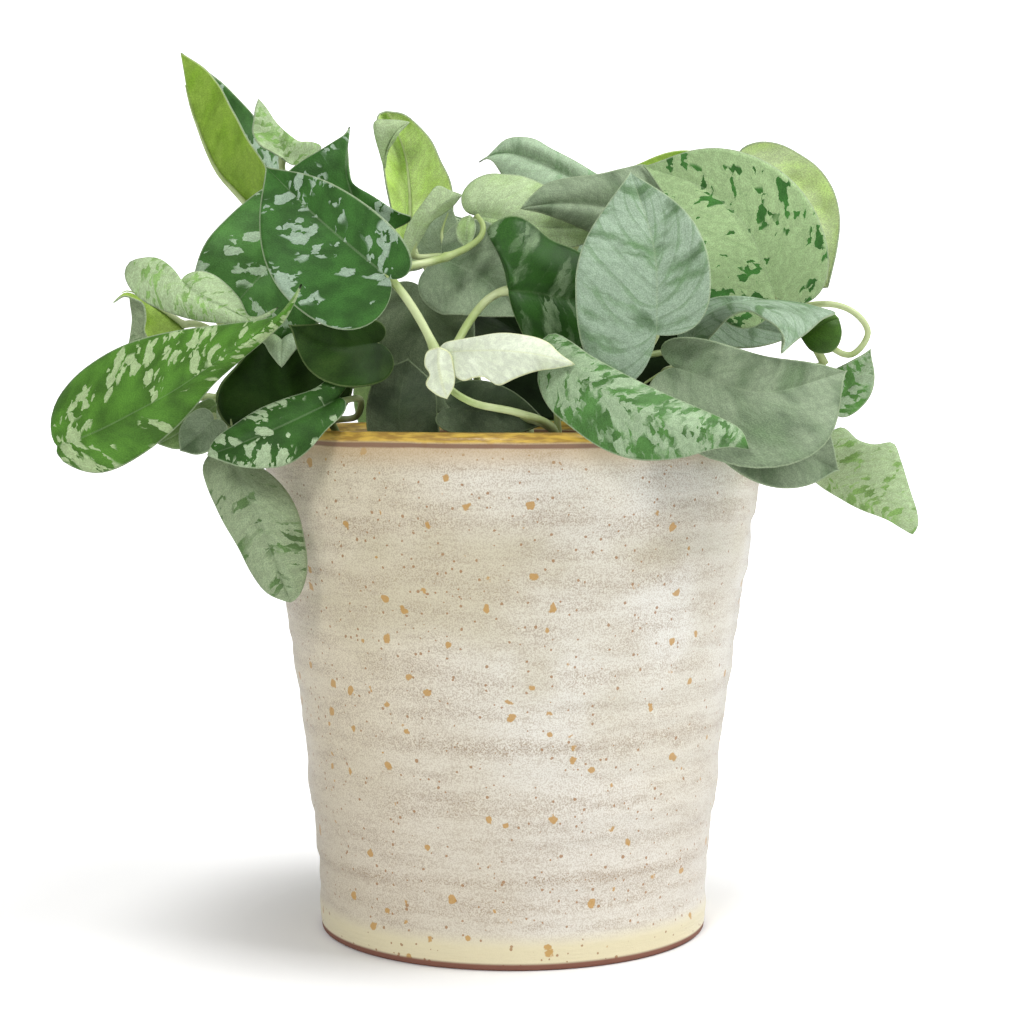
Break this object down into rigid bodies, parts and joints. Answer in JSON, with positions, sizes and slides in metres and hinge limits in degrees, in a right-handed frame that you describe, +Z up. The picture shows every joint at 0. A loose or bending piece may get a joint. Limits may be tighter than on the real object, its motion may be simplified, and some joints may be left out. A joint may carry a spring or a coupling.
{
  "type": "potted satin pothos",
  "caption": "Trailing house plant with heart-shaped silver-blotched leaves on looping stems, filling a glazed, ring-thrown tapering pot.",
  "frame": {"origin": "centre of the pot's foot, on the surface that the pot stands on", "axes": "+Z up along the pot's axis; the plant's front, as pictured, faces -Y and its right-hand side is +X"},
  "size_m": [0.2622, 0.2067, 0.2791],
  "materials": {
    "pot_glaze": "satin-glossy cream stoneware glaze over fine brown speckle and ochre spots, yellow-ochre lip, bare terracotta foot",
    "soil_dark": "dark potting soil",
    "leaf_dark": "satin dark green leaf with silver blotches and a thin pale margin",
    "leaf_silver": "satin silver-green leaf with darker green flecks along its veins",
    "leaf_lime": "satin pale lime leaf underside or young leaf",
    "vine_green": "smooth pale yellow-green stem"
  },
  "bodies": {
    "root": {"pot": "pot_glaze", "soil": "soil_dark", "vine_front": "vine_green", "vine_left": "vine_green", "vine_left_low": "vine_green", "vine_middle": "vine_green", "vine_right": "vine_green", "vine_right_low": "vine_green", "vine_back_left": "vine_green", "vine_back": "vine_green", "vine_back_right": "vine_green", "leaf_left_1": "leaf_lime", "leaf_left_2": "leaf_silver", "leaf_left_3": "leaf_dark", "leaf_left_4": "leaf_dark", "leaf_left_5": "leaf_dark", "leaf_left_6": "leaf_silver", "leaf_left_7": "leaf_dark", "leaf_left_8": "leaf_dark", "leaf_left_9": "leaf_silver", "leaf_left_10": "leaf_lime", "leaf_left_11": "leaf_silver", "leaf_left_12": "leaf_dark", "leaf_left_13": "leaf_silver", "leaf_middle_1": "leaf_silver", "leaf_middle_2": "leaf_silver", "leaf_middle_3": "leaf_silver", "leaf_middle_4": "leaf_dark", "leaf_right_1": "leaf_lime", "leaf_right_2": "leaf_silver", "leaf_right_3": "leaf_silver", "leaf_right_4": "leaf_dark", "leaf_right_5": "leaf_silver", "leaf_right_6": "leaf_silver", "leaf_right_7": "leaf_silver", "leaf_right_8": "leaf_lime", "leaf_right_9": "leaf_lime", "leaf_right_10": "leaf_lime", "leaf_right_11": "leaf_silver", "leaf_right_12": "leaf_silver", "leaf_right_13": "leaf_silver", "leaf_right_14": "leaf_silver", "leaf_right_15": "leaf_dark", "leaf_right_16": "leaf_dark", "leaf_right_17": "leaf_dark", "leaf_right_18": "leaf_silver", "leaf_right_19": "leaf_silver", "leaf_right_20": "leaf_silver", "leaf_back_1": "leaf_dark", "leaf_back_2": "leaf_silver", "leaf_back_3": "leaf_dark", "leaf_back_4": "leaf_silver", "leaf_back_5": "leaf_dark", "leaf_back_6": "leaf_silver", "leaf_back_7": "leaf_dark", "leaf_back_8": "leaf_dark", "leaf_back_9": "leaf_silver", "leaf_back_10": "leaf_silver", "leaf_back_11": "leaf_dark", "leaf_back_12": "leaf_dark"}
  },
  "joints": []
}
